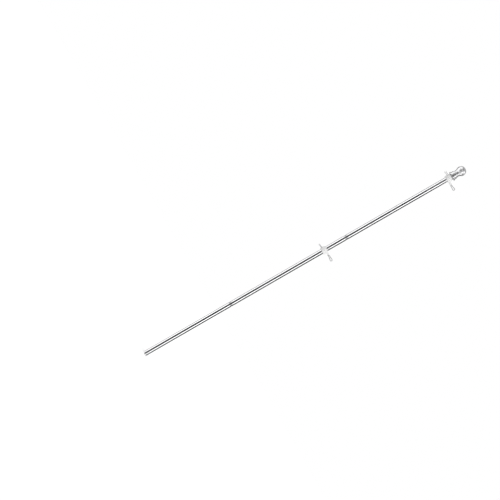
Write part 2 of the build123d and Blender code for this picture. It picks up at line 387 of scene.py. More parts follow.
drawnGrain = drawnGrainGroup()
smudges = smudgesGroup()
scratches = scratchesGroup()
edgeWear = edgeWearGroup()
print("shared effects ready")


# Materials

markGroups = {"smudge": smudges, "scratch": scratches, "edge": edgeWear}


def emptyMaterial(name):
    material = bpy.data.materials.new(name)
    material.use_nodes = True
    material.node_tree.nodes.clear()
    return material, material.node_tree


# A material with its piece's coordinates, and a mask for each kind of mark that its finish has.
def newMaterial(name, finish):
    material, tree = emptyMaterial(name)
    place = addNode(tree, "ShaderNodeTexCoord").outputs["Object"]
    masks = {mark: useGroup(tree, group, place, finish[mark])["Mask"]
             for mark, group in markGroups.items() if mark in finish}
    return material, tree, place, masks


# Roughness is the finish's own, plus each mask that makes it rougher times its share. The relief
# becomes a bump.
def finishShader(tree, finish, masks, colour, relief):
    rough = finish["roughness"]
    for mark, share in finish["rougher"].items():
        rough = mathNode(tree, "MULTIPLY_ADD", masks[mark], share, rough)
    normal = addNode(tree, "ShaderNodeBump", {"Height": relief, "Distance": finish["depth"],
                                              "Strength": 1.0})
    shader = addNode(tree, "ShaderNodeBsdfPrincipled", {
        "Base Color": colour, "Roughness": rough, "Metallic": finish["metal"],
        "Normal": normal.outputs[0], **finish.get("scatter", {})})
    addNode(tree, "ShaderNodeOutputMaterial", {0: shader.outputs[0]})


poleFinish = {
    "bright": (0.83, 0.83, 0.84, 1),
    "dull": (0.70, 0.70, 0.71, 1),
    "dullShare": 0.35,         # of the dull colour in a smudge
    # Painted darker reflection: the colour that the rolled necks are mixed towards.
    "neckPaintedDark": (0.38, 0.38, 0.39, 1),
    "metal": 1.0,
    "roughness": 0.085,
    "rougher": {"grain": 0.05, "smudge": 0.09, "scratch": 0.15, "neck": 0.05},
    "depth": 0.006 * mm,
    "grain": {"Lines": 1400.0, "Stretch": 0.012},
    "smudge": {"Scale": 34.0, "Cover": 0.5},
    "scratch": {"Scale": 160.0},
    "neckLength": 12 * mm,
    "neckFull": 0.6,           # share of that length before the painted dark neck fades out
    "turnedLines": {"Scale": 520.0, "Distortion": 0.4},
}


# Polished drawn tube. The rolled necks above the two joints are a little rougher, with fine turned lines, and
# a painted darker reflection darkens their colour.
def poleSteel(joints):
    finish = poleFinish
    material, tree, place, masks = newMaterial("polishedTube", finish)
    grain = useGroup(tree, drawnGrain, place, finish["grain"])
    height = addNode(tree, "ShaderNodeSeparateXYZ", {0: place}).outputs["Z"]
    necks = []
    for joint in joints:
        fades, ends = (joint + finish["neckLength"] * share for share in (finish["neckFull"], 1))
        above = mathNode(tree, "GREATER_THAN", height, joint)
        necks.append(times(tree, mapRange(tree, height, fades, ends, 1.0, 0.0), above))
    neck = mathNode(tree, "MAXIMUM", *necks)
    turnedLines = addNode(tree, "ShaderNodeTexWave", {"Vector": place, **finish["turnedLines"]},
                          bands_direction="Z").outputs["Fac"]
    dull = times(tree, masks["smudge"], finish["dullShare"])
    colour = mixColours(tree, dull, finish["bright"], finish["dull"])
    # Painted darker reflection: the neck's colour goes over to a dark grey.
    colour = mixColours(tree, neck, colour, finish["neckPaintedDark"])
    relief = plus(tree, grain["Height"], times(tree, turnedLines, neck))
    finishShader(tree, finish, {**masks, "grain": grain["Value"], "neck": neck}, colour, relief)
    return material


finialFinish = {
    "plating": (0.82, 0.82, 0.83, 1),
    "worn": (0.70, 0.70, 0.70, 1),
    "collar": {"roughness": 0.16, "metal": 1.0},
    "ball": {"roughness": 0.32, "metal": 0.70},    # the rest is a milky lacquer
    "rougher": {"smudge": 0.08, "scratch": 0.12, "edge": 0.10},
    "depth": 0.012 * mm,
    "smudge": {"Scale": 90.0, "Cover": 0.45},
    "scratch": {"Scale": 210.0, "Width": 0.009},
    "edge": {"Scale": 420.0, "Amount": 0.7},
    "peel": {"Scale": 420.0, "Detail": 2.0},
}


# Plated plastic: metal with a faint orange peel, fine scratches and thin plating on its edges.
def finialSilver(name, part):
    finish = {**finialFinish, **finialFinish[part]}
    material, tree, place, masks = newMaterial(name, finish)
    colour = mixColours(tree, masks["edge"], finish["plating"], finish["worn"])
    finishShader(tree, finish, masks, colour, noise(tree, place, finish["peel"]))
    return material


ringFinish = {
    "milky": (0.88, 0.88, 0.875, 1),
    "cloudy": (0.82, 0.82, 0.82, 1),
    "cloudSpan": (0.35, 0.7),
    "cloudShare": 0.6,
    # Painted light: the lighter colour given to rounded edges, as if light came through the thin plastic.
    "paintedEdgeLight": (0.92, 0.92, 0.915, 1),
    "metal": 0.0,
    "roughness": 0.36,
    "rougher": {"smudge": 0.12, "scratch": 0.2},
    "depth": 0.02 * mm,
    "edge": {"Scale": 500.0, "Amount": 0.8},
    "smudge": {"Scale": 110.0, "Cover": 0.5},
    "scratch": {"Scale": 260.0},
    "flow": {"Scale": 160.0, "Detail": 4.0, "Distortion": 1.2},
    "skin": {"Scale": 2600.0, "Detail": 2.0},
    "skinShare": 0.25,         # its height, in depths
    "partingHalf": 0.11 * mm,  # half the width of the line where the mould's halves met
    "partingRise": 2.5,        # its height, in depths
    "scatter": {"Subsurface Weight": 0.25, "Subsurface Radius": (1.0, 1.0, 1.0),
                "Subsurface Scale": 1.6 * mm},
}


# Natural nylon: milky, slightly cloudy where the melt flowed, with painted light that makes its rounded
# edges lighter, and dulled by handling. A fine raised line runs round each moulding where y is 0.
def ringPlastic():
    finish = ringFinish
    material, tree, place, masks = newMaterial("milkyNylon", finish)
    flow = noise(tree, place, finish["flow"])
    skin = times(tree, noise(tree, place, finish["skin"]), finish["skinShare"])
    cloud = times(tree, mapRange(tree, flow, *finish["cloudSpan"], smooth=True), finish["cloudShare"])
    colour = mixColours(tree, cloud, finish["milky"], finish["cloudy"])
    # Painted light on the rounded edges.
    colour = mixColours(tree, masks["edge"], colour, finish["paintedEdgeLight"])
    aside = mathNode(tree, "ABSOLUTE", addNode(tree, "ShaderNodeSeparateXYZ", {0: place}).outputs["Y"])
    parting = mapRange(tree, aside, 0.0, finish["partingHalf"], finish["partingRise"], 0.0, smooth=True)
    finishShader(tree, finish, masks, colour, plus(tree, plus(tree, flow, skin), parting))
    return material


wireFinish = {
    "bright": (0.52, 0.52, 0.53, 1),
    "dark": (0.28, 0.28, 0.29, 1),
    "darkShare": 0.5,
    "metal": 1.0,
    "roughness": 0.24,
    "rougher": {"dark": 0.12, "smudge": 0.10},
    "depth": 0.004 * mm,
    "stretch": (26.0, 60.0, 1.0),  # round the wire and along it
    "lines": {"Scale": 1.0, "Detail": 4.0, "Roughness": 0.6},
    "darkSpan": (0.35, 0.65),
    "smudge": {"Scale": 220.0, "Cover": 0.5},
    "edge": {"Scale": 900.0, "Amount": 0.9},
}


# Drawn spring wire: die lines along the wire from its own UV map, darker between them.
def ringWire():
    finish = wireFinish
    material, tree, place, masks = newMaterial("drawnWire", finish)
    uv = addNode(tree, "ShaderNodeUVMap", uv_map="surface").outputs[0]
    lines = noise(tree, stretched(tree, uv, finish["stretch"]), finish["lines"])
    dark = mapRange(tree, lines, *finish["darkSpan"])
    colour = mixColours(tree, times(tree, dark, finish["darkShare"]), finish["bright"], finish["dark"])
    colour = mixColours(tree, masks["edge"], colour, finish["dark"])
    finishShader(tree, finish, {**masks, "dark": dark}, colour, lines)
    return material


plugFinish = {
    "face": (0.86, 0.86, 0.85, 1),
    "grubby": (0.66, 0.66, 0.64, 1),
    "metal": 0.0,
    "roughness": 0.5,
    "rougher": {"skin": 0.15},
    "depth": 0.01 * mm,
    "skin": {"Scale": 3000.0, "Detail": 3.0},
    "smudge": {"Scale": 160.0, "Cover": 0.6},
    "scratch": {"Scale": 300.0, "Width": 0.02},
    "dirt": {"smudge": 0.35, "scratch": 0.6},
}


# Moulded plug: finely sparked skin, a little grubby where it stands in a bracket.
def plugPlastic():
    finish = plugFinish
    material, tree, place, masks = newMaterial("mouldedPlug", finish)
    skin = noise(tree, place, finish["skin"])
    dirt = mathNode(tree, "MAXIMUM", *(times(tree, masks[mark], share)
                                       for mark, share in finish["dirt"].items()))
    colour = mixColours(tree, dirt, finish["face"], finish["grubby"])
    finishShader(tree, finish, {"skin": skin}, colour, skin)
    return material


studFinish = {
    "steel": (0.60, 0.60, 0.61, 1),
    "oil": (0.30, 0.29, 0.28, 1),
    "thinOil": 0.4,            # share of oil in the roots between the smudges
    "metal": 1.0,
    "roughness": 0.33,
    "rougher": {"smudge": 0.15},
    "depth": 0.005 * mm,
    "smudge": {"Scale": 400.0, "Cover": 0.6},
}


# Plain threaded steel, darker where oil stays in the roots of the thread.
def studSteel():
    finish = studFinish
    material, tree, _, masks = newMaterial("threadedSteel", finish)
    root = addNode(tree, "ShaderNodeAttribute", attribute_name="edgeWear").outputs["Fac"]
    oil = mathNode(tree, "MULTIPLY", root, plus(tree, masks["smudge"], finish["thinOil"]), clamp=True)
    colour = mixColours(tree, oil, finish["steel"], finish["oil"])
    finishShader(tree, finish, masks, colour, masks["smudge"])
    return material


# Pole

poleSizes = {
    "wall": 0.8 * mm,
    "neckGap": 0.05 * mm,      # between a neck and the bore that it plugs into
    "neckLength": 50 * mm,
    "swage": 11 * mm,          # taper that shows above each joint
    "rimRounding": 0.28 * mm,
    "boreRounding": 0.18 * mm,
    "hold": 2 * mm,            # from a rounded rim to the next row
    "columns": 144,
}

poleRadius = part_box("bottom_section")[1].x
poleBore = poleRadius - poleSizes["wall"]
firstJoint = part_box("bottom_section")[1].z
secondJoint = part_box("middle_section")[1].z
polishedTube = poleSteel([firstJoint, secondJoint])


# Turns a closed outline into one section of the tube.
def addSection(name, node, corners, roundings):
    profile, wear = roundedPath(corners, roundings, closed=True, hold=poleSizes["hold"])
    mesh = turnedMesh(profile, wear, poleSizes["columns"])
    return addPiece(name, mesh, polishedTube, "pole", node)


# A plain tube: the turned rectangle between bore and radius, and between foot and head.
def plainSection(name, node):
    foot, head = (corner.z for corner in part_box(node))
    small, large = poleSizes["boreRounding"], poleSizes["rimRounding"]
    corners = [(poleBore, foot), (poleRadius, foot), (poleRadius, head), (poleBore, head)]
    return addSection(name, node, corners, [small, large, large, small])


# A section whose lower end is necked down. The neck eases out to the full tube above the joint.
def neckedSection(name, node):
    sizes = poleSizes
    foot, head = (corner.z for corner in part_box(node))
    joint = foot + sizes["neckLength"]
    shoulder = joint + sizes["swage"]
    neck = poleBore - sizes["neckGap"]
    neckBore = neck - sizes["wall"]
    outside = [(neck, joint), *easedProfile((neck, joint), (poleRadius, shoulder)), (poleRadius, shoulder)]
    inside = [(neckBore, joint), *easedProfile((neckBore, joint), (poleBore, shoulder)), (poleBore, shoulder)]
    corners = [(neckBore, foot), (neck, foot), *outside, (poleRadius, head), (poleBore, head), *inside[::-1]]
    small, large = sizes["boreRounding"], sizes["rimRounding"]
    roundings = [small, large] + [0] * len(outside) + [large, small] + [0] * len(inside)
    return addSection(name, node, corners, roundings)


plainSection("bottomTube", "bottom_section")
neckedSection("middleTube", "middle_section")
neckedSection("topTube", "top_section")

plugSizes = {
    "wall": 1.4 * mm,
    "head": 2.5 * mm,          # thickness of the closed end
    "chamfer": 0.6 * mm,
    "gateRadius": 2.4 * mm,    # shallow round recess where the plug was moulded
    "gateFloor": 0.8,          # share of that radius at the recess's floor
    "gateMiddle": 0.2,         # and at the fan that closes it
    "gateDepth": 0.35 * mm,
    "rounding": 0.2 * mm,
    "columns": 96,
}


# A turned cup. Its outline goes from the recess over the end and the chamfer, up the side, and back
# down the inside to the cup's floor.
def buttPlug():
    sizes = plugSizes
    low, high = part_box("butt_plug")
    outside, length = high.x, high.z - low.z
    inside = outside - sizes["wall"]
    chamfer, gate, depth, floor = sizes["chamfer"], sizes["gateRadius"], sizes["gateDepth"], sizes["head"]
    corners = [(gate * sizes["gateMiddle"], depth), (gate * sizes["gateFloor"], depth), (gate, 0),
               (outside - chamfer, 0), (outside, chamfer), (outside, length), (inside, length),
               (inside, floor), (gate, floor)]
    profile, wear = roundedPath(corners, sizes["rounding"], closed=False)
    mesh = turnedMesh(profile, wear, sizes["columns"], poles=(depth, floor))
    return addPiece("buttPlug", mesh, plugPlastic(), "pole", "butt_plug")


buttPlug()
print("pole: three tubes and the butt plug")


# Finial

platedCollar = finialSilver("platedCollar", "collar")
platedBall = finialSilver("platedBall", "ball")

baseSizes = {
    "radii": (19.3 * mm, 16.5 * mm, 14.2 * mm),    # flange, middle step and top step
    "heights": (6 * mm, 10 * mm, 8.5 * mm),
    "roundings": (2.5 * mm, 2.05 * mm, 1.9 * mm),
    "grooveDepth": 2.2 * mm,
    "grooveHeight": 1 * mm,
    "grooveRounding": 0.2 * mm,
    "wall": 2.4 * mm,
    "socketRadius": 10.05 * mm,
    "socketDepth": 17 * mm,
    "socketWall": 1.6 * mm,
    "smallRounding": 0.35 * mm,
    "holeRounding": 0.15 * mm,
    "columns": 160,
}

beadSizes = {
    "radius": 14.6 * mm,
    "bulge": 2.6 * mm,         # half of the bead's height
    "seatGap": 0.04 * mm,      # the dished seat lies this far off the ball
    "sideRows": 40,
    "seatRows": 16,
    "columns": 160,
}

ballSizes = {
    "radius": 20.2 * mm,
    "wall": 2.2 * mm,
    "bossRadius": 8 * mm,
    "bossDepth": 9 * mm,
    "outerRows": 72,
    "innerRows": 36,
    "outerPole": 88.5,         # degrees up at which the last rows lie
    "innerPole": 88.0,
    "columns": 160,
}

studSizes = {
    "radius": 4 * mm,
    "gap": 0.03 * mm,          # round the stud in each hole
    "pitch": 1.25 * mm,
    "depth": 0.55 * mm,
    "point": 1 * mm,           # length of the taper at each end
    "pointDepth": 0.7 * mm,
    "columns": 48,
    "rowsPerTurn": 10,
}

studHole = studSizes["radius"] + studSizes["gap"]


# Three turned steps, each with a large rounding, hollow from below round the pole's socket.
def finialBase():
    sizes = baseSizes
    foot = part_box("finial_base")[0].z
    flange, middle, top = sizes["radii"]
    first, second, third = foot + np.cumsum(sizes["heights"])
    groove, neck = third + sizes["grooveHeight"], top - sizes["grooveDepth"]
    deep, socket, wall = foot + sizes["socketDepth"], sizes["socketRadius"], sizes["wall"]
    outerSocket = socket + sizes["socketWall"]
    corners = [(outerSocket, foot), (outerSocket, second - wall), (middle - wall, second - wall),
               (middle - wall, first - wall), (flange - wall, first - wall), (flange - wall, foot),
               (flange, foot), (flange, first), (middle, first), (middle, second), (top, second),
               (top, third), (neck, third), (neck, groove), (studHole, groove), (studHole, deep),
               (socket, deep), (socket, foot)]
    small, (lower, upper, last) = sizes["smallRounding"], sizes["roundings"]
    roundings = ([small] * 6 + [2 * small, lower, small, upper, small, last, sizes["grooveRounding"]]
                 + [sizes["holeRounding"]] * 3 + [small] * 2)
    profile, wear = roundedPath(corners, roundings, closed=True)
    mesh = turnedMesh(profile, wear, sizes["columns"])
    return addPiece("finialBase", mesh, platedCollar, "pole", "finial_base")


# The bead's side is half a circle, squeezed inwards: r = R - b/2 (1 - cos a), z = middle + b sin a.
# Its top is an arc about the ball's middle, and the edge between the two is worn.
def finialBead():
    sizes = beadSizes
    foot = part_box("finial_bead")[0].z
    ballFoot, ballHead = (corner.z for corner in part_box("finial_ball"))
    ballMiddle = ballHead - ballSizes["radius"]
    seatRadius = ballSizes["radius"] + sizes["seatGap"]
    flat, bulge = ballFoot - sizes["seatGap"], sizes["bulge"]
    angles = np.radians(np.linspace(-90, 90, sizes["sideRows"] + 1))
    side = np.stack([sizes["radius"] - bulge / 2 * (1 - np.cos(angles)),
                     foot + bulge + bulge * np.sin(angles)], axis=-1)
    side = side[np.hypot(side[:, 0], side[:, 1] - ballMiddle) > seatRadius]
    rim = side[-1]
    highAngle = math.degrees(math.atan2(rim[1] - ballMiddle, rim[0]))
    lowAngle = math.degrees(math.asin((flat - ballMiddle) / seatRadius))
    seat = arcProfile(seatRadius, ballMiddle, highAngle, lowAngle, sizes["seatRows"])[1:]
    profile = np.vstack([[(studHole, flat), (studHole, foot)], side, seat])
    wear = np.concatenate([np.zeros(len(side)), np.ones(2), np.zeros(len(seat))])
    mesh = turnedMesh(profile, wear, sizes["columns"])
    return addPiece("finialBead", mesh, platedCollar, "pole", "finial_bead")


# A shell between two spheres about one middle, cut flat at its foot, where a boss holds the stud.
def finialBall():
    sizes = ballSizes
    low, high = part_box("finial_ball")
    radius, middle = sizes["radius"], high.z - sizes["radius"]
    inside, boss, bossTop = radius - sizes["wall"], sizes["bossRadius"], low.z + sizes["bossDepth"]
    footAngle = math.degrees(math.asin((low.z - middle) / radius))
    bossAngle = -math.degrees(math.acos(boss / inside))
    outer = arcProfile(radius, middle, sizes["outerPole"], footAngle, sizes["outerRows"])
    inner = arcProfile(inside, middle, bossAngle, sizes["innerPole"], sizes["innerRows"])
    profile = np.vstack([outer, [(studHole, low.z), (studHole, bossTop), (boss, bossTop)], inner])
    mesh = turnedMesh(profile, np.zeros(len(profile)), sizes["columns"], poles=(high.z, middle + inside))
    return addPiece("finialBall", mesh, platedBall, "pole", "finial_ball")


# A thread as a wavy radius: r = R - d (1 + cos(2 pi z / pitch - a)) / 2, less a taper at both ends.
def finialStud():
    sizes = studSizes
    low, high = (corner.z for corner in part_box("finial_stud"))
    rows = int((high - low) / sizes["pitch"] * sizes["rowsPerTurn"])
    z = np.linspace(low, high, rows)[:, None]
    a = evenAngles(sizes["columns"])
    root = (1 + np.cos(2 * np.pi * z / sizes["pitch"] - a)) / 2
    taper = np.clip(1 - np.minimum(z - low, high - z) / sizes["point"], 0, 1)
    radius = sizes["radius"] - sizes["depth"] * root - taper * sizes["pointDepth"]
    mesh = surfaceMesh(turnedGrid(radius, z, a), root, poles=[vector(0, 0, low), vector(0, 0, high)])
    return addPiece("finialStud", mesh, studSteel(), "pole", "finial_stud")


finialBase()
finialBead()
finialBall()
finialStud()
print("finial: base, bead, ball and stud")


# Flag rings

# Heights in a ring count from the division between its fixed and its turning half.
sleeveSizes = {
    "bore": 10.05 * mm,
    "journal": 12.0 * mm,
    "web": 1 * mm,
    "webRadius": 14.17 * mm,
    "colletRadius": 11.55 * mm,
    "colletLength": 11.6 * mm,
    "beadHeight": 0.5 * mm,
    "beadLength": 1.2 * mm,
    "slits": 4,
    "slitWidth": 1.4 * mm,
    "slitLength": 9.6 * mm,
    "slitSide": 0.012,         # radians over which the wall rises beside a slit
    "seatStart": 9.8 * mm,     # seat of the retainer
    "seatLength": 1.5 * mm,
    "seatStep": 0.7 * mm,
    "rounding": 0.18 * mm,
    "columns": 128,
}

retainerSizes = {
    "radius": 13.4 * mm,
    "gap": 0.03 * mm,
    "bevel": 0.5 * mm,
    "rounding": 0.15 * mm,
    "columns": 128,
}

coverSizes = {
    "radius": 15.4 * mm,
    "hubRadius": 13.9 * mm,
    "length": 10.2 * mm,
    "flange": 6.7 * mm,
    "wall": 1.2 * mm,
    "endWall": 1 * mm,
    "throat": 12.35 * mm,
    "rounding": 0.9 * mm,
    "smallRounding": 0.2 * mm,
    "throatRounding": 0.1 * mm,
    "slotRoom": 0.6 * mm,      # free past the lower tail
    "slotHalfAngle": 29.4,     # degrees, with room beside both tails
    "slotSide": 0.6,           # degrees over which the wall drops to the slot's floor
    "columns": 144,
}

clampSizes = {
    "wire": 0.9 * mm,          # half the wire's thickness
    "seat": 0.05 * mm,
    "pitch": 2.05 * mm,
    "height": 3.3 * mm,
    "lap": 15.0,               # degrees that each end runs past the other
    "elbow": 1.7 * mm,
    "reach": 33 * mm,
    "curl": 11.0,              # degrees by which a tail curls towards the butt
    "tip": 0.45 * mm,
    "steps": (220, 30, 60),    # of the turn, the elbow and the tail
}

loopSizes = {
    "wire": 1.1 * mm,          # half the wire's thickness
    "tabReach": 29.3 * mm,
    "tabMiddle": 4.9 * mm,
    "tabTip": 7.2 * mm,
    "reach": 54 * mm,
    "width": 11.2 * mm,
    "anchor": 11.7 * mm,       # length of the fixed leg inside the tab
    "anchorEdge": 0.3 * mm,    # how much of it stands out of the tab's side
    "legGap": 0.05 * mm,
    "lipThickness": 1.2 * mm,
    "lipLength": 2.5 * mm,
    "latchRoom": 1 * mm,
    "hookBend": 1.7 * mm,
    "cornerShare": 0.85,       # rounding of the far corners, in half widths
    "neckShare": 2.0,          # and where the loop opens out
    "tip": 0.45 * mm,
    "steps": 40,
}

rotorSizes = {
    "merge": 0.0005 * mm,
    "flatAngle": 0.6,          # degrees within which neighbouring faces count as one
    "bevel": 0.16 * mm,
    "bevelSegments": 3,
    "sharpAngle": 38.0,
}

ringMaterials = {"ring_plastic": ringPlastic(), "ring_wire": ringWire()}


# Adds one part of a ring, which rides on the ring itself or on its turning half. A mesh drawn round
# the ring's own middle is moved to its place. The upper ring is turned end for end about X, which
# changes the signs of y and z.
def addRingPiece(ring, part, mesh, half, slot, place=None):
    if place is not None:
        points = np.empty(len(mesh.vertices) * 3, np.float32)
        mesh.vertices.foreach_get("co", points)
        points = points.reshape(-1, 3) * np.array([1, place["sign"], place["sign"]])
        points[:, 2] += place["height"]
        mesh.vertices.foreach_set("co", points.astype(np.float32).ravel())
        mesh.update()
    return addPiece(ring + part.capitalize(), mesh, ringMaterials[slot], f"{ring}_{half}",
                    f"{ring}_ring_{part}")


# How far each angle lies from a cut's middle, the short way round.
def angleFrom(middle, angles):
    return np.abs((angles - middle + np.pi) % (2 * np.pi) - np.pi)


# Angles round a piece: an even spread, with the sides of each cut added so that they stay steep. A cut
# is its middle, its half width and the width of its sides.
def anglesWithCuts(columns, cuts):
    angles = evenAngles(columns)
    for middle, half, side in cuts:
        angles = angles[np.abs(angleFrom(middle, angles) - half - side / 2) > side]
        edges = half + side * np.array([0, 0.3, 0.7, 1])
        angles = np.concatenate([angles, middle + edges, middle - edges])
    return np.sort(angles % (2 * np.pi))


# A turned mesh with cuts. Where it stands past the floor, z becomes floor + (z - floor) (1 - d share),
# with share 1 in a cut and 0 outside it, falling evenly over the cut's sides.
def cutMesh(profile, wear, columns, cuts, floor, towardsPlus, depth=0.985):
    angles = anglesWithCuts(columns, cuts)
    share = np.zeros(len(angles))
    for middle, half, side in cuts:
        share = np.maximum(share, np.clip((half + side - angleFrom(middle, angles)) / side, 0, 1))
    grid = turnedGrid(profile[:, :1], profile[:, 1:], angles)
    z = grid[..., 2]
    past = z > floor if towardsPlus else z < floor
    grid[..., 2] = np.where(past, floor + (z - floor) * (1 - depth * share), z)
    return surfaceMesh(grid, wear)


# A turned outline: the journal for the turning half above the web, and the slit collet below it.
def ringSleeve(ring, place):
    sizes = sleeveSizes
    bore, collet, journal = sizes["bore"], sizes["colletRadius"], sizes["journal"]
    web, webFoot = sizes["webRadius"], -sizes["web"]
    foot = -sizes["colletLength"]
    bead, beadTop = collet + sizes["beadHeight"], foot + sizes["beadLength"]
    seat, start = journal - sizes["seatStep"], sizes["seatStart"]
    head = start + sizes["seatLength"]
    corners = [(bore, foot), (bead, foot), (bead, beadTop), (collet, beadTop), (collet, webFoot),
               (web, webFoot), (web, 0), (journal, 0), (journal, start), (seat, start), (seat, head),
               (bore, head)]
    profile, wear = roundedPath(corners, sizes["rounding"], closed=True)
    halfSlit = sizes["slitWidth"] / 2 / bore
    cuts = [(middle, halfSlit, sizes["slitSide"]) for middle in np.pi / 4 + evenAngles(sizes["slits"])]
    mesh = cutMesh(profile, wear, sizes["columns"], cuts, foot + sizes["slitLength"], towardsPlus=False)
    return addRingPiece(ring, "sleeve", mesh, "ring", "ring_plastic", place)


# A turned shell over the clamp, with a slot for the two tails that is open towards the division.
def ringCover(ring, place):
    sizes = coverSizes
    radius, hub, wall, throat = sizes["radius"], sizes["hubRadius"], sizes["wall"], sizes["throat"]
    step, foot = -sizes["flange"], -sizes["length"]
    endFloor, flangeFloor = foot + sizes["endWall"], step + wall
    corners = [(radius - wall, 0), (radius, 0), (radius, step), (hub, step), (hub, foot), (throat, foot),
               (throat, endFloor), (hub - wall, endFloor), (hub - wall, flangeFloor),
               (radius - wall, flangeFloor)]
    small, large, fine = sizes["smallRounding"], sizes["rounding"], sizes["throatRounding"]
    roundings = [small, small, large, small, large, small, fine, fine, small, small]
    profile, wear = roundedPath(corners, roundings, closed=True)
    cuts = [(np.pi, math.radians(sizes["slotHalfAngle"]), math.radians(sizes["slotSide"]))]
    lowTail = clampSizes["height"] + clampSizes["pitch"] / 2 + clampSizes["wire"]
    mesh = cutMesh(profile, wear, sizes["columns"], cuts, -lowTail - sizes["slotRoom"], towardsPlus=True)
    return addRingPiece(ring, "cover", mesh, "ring", "ring_plastic", place)


# A turned ring with one bevelled rim, on the sleeve's seat.
def ringRetainer(ring, place):
    sizes = retainerSizes
    seat = sleeveSizes["journal"] - sleeveSizes["seatStep"] + sizes["gap"]
    start, head = sleeveSizes["seatStart"], sleeveSizes["seatStart"] + sleeveSizes["seatLength"]
    rim, bevel = sizes["radius"], sizes["bevel"]
    corners = [(seat, start), (rim, start), (rim, head - bevel), (rim - bevel, head), (seat, head)]
    profile, wear = roundedPath(corners, sizes["rounding"], closed=True)
    mesh = turnedMesh(profile, wear, sizes["columns"])
    return addRingPiece(ring, "retainer", mesh, "ring", "ring_plastic", place)


# One lapped turn of spring wire. Each half turn leans away from the other, turns out in a tight elbow
# and runs on as a long tail that curls towards the butt. The path goes from one tip to the other.
def ringClamp(ring, place):
    sizes = clampSizes
    coil = sleeveSizes["colletRadius"] + sizes["seat"] + sizes["wire"]
    lean, curl = math.asin(sizes["pitch"] / 4 / coil), math.radians(sizes["curl"])
    bow = (sizes["reach"] - coil - sizes["elbow"]) / math.sin(curl)
    front, butt = vector(coil, 0, -sizes["height"]), vector(0, 0, -place["sign"])
    turnSteps, elbowSteps, tailSteps = sizes["steps"]
    halves = []
    for way in (-1, 1):
        inward = vector(-math.cos(lean), 0, way * math.sin(lean))
        turn, along = arcPath(front, vector(0, way, 0), inward, coil, math.radians(180 + sizes["lap"]),
                              turnSteps)
        outward = unit(turn[-1] * np.array([1, 1, 0]))
        elbow, _ = arcPath(turn[-1], along, outward, sizes["elbow"], math.acos(along @ outward), elbowSteps)
        tail, _ = arcPath(elbow[-1], outward, butt, bow, curl, tailSteps)
        halves.append(np.vstack([turn, elbow[1:], tail[1:]]))
    path = np.vstack([halves[0][::-1], halves[1][1:]])
    mesh = wireMesh(path, vector(0, 0, 1), sizes["wire"], sizes["tip"])
    return addRingPiece(ring, "clamp", mesh, "ring", "ring_wire", place)


# The teardrop loop, from the fixed leg in the tab round to the hook behind the tab's lip: a path of
# straight runs with a rounding at each corner.
def ringLoop(ring, place):
    sizes = loopSizes
    wire, tab, tabMiddle = sizes["wire"], sizes["tabReach"], sizes["tabMiddle"]
    bottom, neck = sizes["reach"] - wire, tab + 2 * wire
    middle, half = tabMiddle - wire / 2, sizes["width"] / 2 - wire
    legHeight = tabMiddle + sizes["tabTip"] / 2 + sizes["anchorEdge"] - wire
    hookFoot = tabMiddle - sizes["tabTip"] / 2
    hookHeight = hookFoot + sizes["lipThickness"] + sizes["legGap"] + wire
    hookDepth = tab - sizes["lipLength"] - sizes["latchRoom"] / 2 - wire
    outline = [(tab - sizes["anchor"], legHeight), (neck, legHeight), (bottom, middle + half),
               (bottom, middle - half), (neck, hookHeight), (hookDepth, hookHeight), (hookDepth, hookFoot)]
    spread, corner = half * sizes["neckShare"], half * sizes["cornerShare"]
    path, _ = roundedPath([(x, 0, z) for x, z in outline],
                          [0, spread, corner, corner, spread, sizes["hookBend"], 0],
                          closed=False, steps=sizes["steps"])
    mesh = wireMesh(path, vector(0, 1, 0), wire, sizes["tip"])
    return addRingPiece(ring, "loop", mesh, "rotor", "ring_wire", place)


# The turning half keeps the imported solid's shape. Its doubles are merged and its flat faces joined,
# and every sharp edge gets a small bevel.
def ringRotor(ring):
    sizes = rotorSizes
    shape = bmesh.new()
    shape.from_mesh(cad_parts[ring + "_ring_rotor"].data)
    bmesh.ops.remove_doubles(shape, verts=shape.verts, dist=sizes["merge"])
    bmesh.ops.dissolve_limit(shape, angle_limit=math.radians(sizes["flatAngle"]),
                             verts=shape.verts, edges=shape.edges)
    mesh = bpy.data.meshes.new("rotor")
    shape.to_mesh(mesh)
    shape.free()
    packedNormals = mesh.attributes.get("custom_normal")
    if packedNormals is not None:
        mesh.attributes.remove(packedNormals)
    mesh.polygons.foreach_set("use_smooth", np.ones(len(mesh.polygons), bool))
    piece = addRingPiece(ring, "rotor", mesh, "rotor", "ring_plastic")
    bevel = piece.modifiers.new("edges", "BEVEL")
    bevel.width = sizes["bevel"]
    bevel.segments = sizes["bevelSegments"]
    bevel.limit_method = "ANGLE"
    bevel.angle_limit = math.radians(sizes["sharpAngle"])
    bevel.harden_normals = True
    return piece


ringPlaces = {
    "lower": {"height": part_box("lower_ring_sleeve")[0].z + sleeveSizes["colletLength"], "sign": 1},
    "upper": {"height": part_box("upper_ring_sleeve")[1].z - sleeveSizes["colletLength"], "sign": -1},
}

for ring, place in ringPlaces.items():
    ringSleeve(ring, place)
    ringCover(ring, place)
    ringRetainer(ring, place)
    ringClamp(ring, place)
    ringLoop(ring, place)
    ringRotor(ring)
    print("ring:", ring, "at", round(place["height"], 4))


# Studio

studio = {
    "floorSize": 12.0,
    "floorColour": (0.86, 0.86, 0.86, 1),
    "floorGlow": 0.2,
    "lightFromRight": 1.0,
    "lightFromLeft": 0.66,
    "sunStrength": 0.75,
    "sunAngle": 50.0,
    "sunTurn": (40.0, 12.0, 30.0),
}

